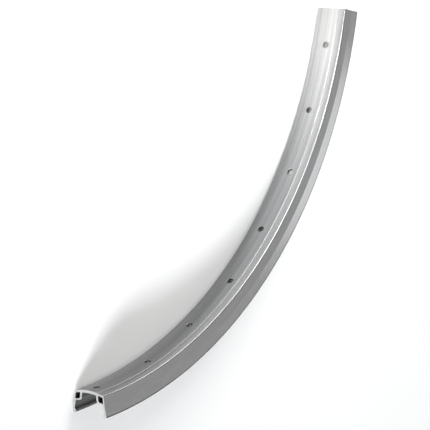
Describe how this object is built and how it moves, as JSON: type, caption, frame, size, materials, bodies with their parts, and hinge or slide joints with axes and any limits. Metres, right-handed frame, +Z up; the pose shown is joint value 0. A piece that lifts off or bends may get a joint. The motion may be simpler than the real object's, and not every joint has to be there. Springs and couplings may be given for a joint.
{
  "type": "bicycle rim section",
  "caption": "Sawn length of extruded aluminium bicycle rim: curved channel with hooked side walls, hollow corner chambers and a drilled bed for the spokes.",
  "frame": {"origin": "centre of the bottom of the part's box, on the surface that it lies on", "axes": "+Z up, parallel to the wheel's axis; X along the chord between the two ends, with the sawn end at +X; +Y from the wheel's centre out to the tyre at the middle of the length"},
  "size_m": [0.3998, 0.0836, 0.0296],
  "materials": {
    "aluminium": "satin"
  },
  "bodies": {
    "root": {"rim": "aluminium"}
  },
  "joints": []
}
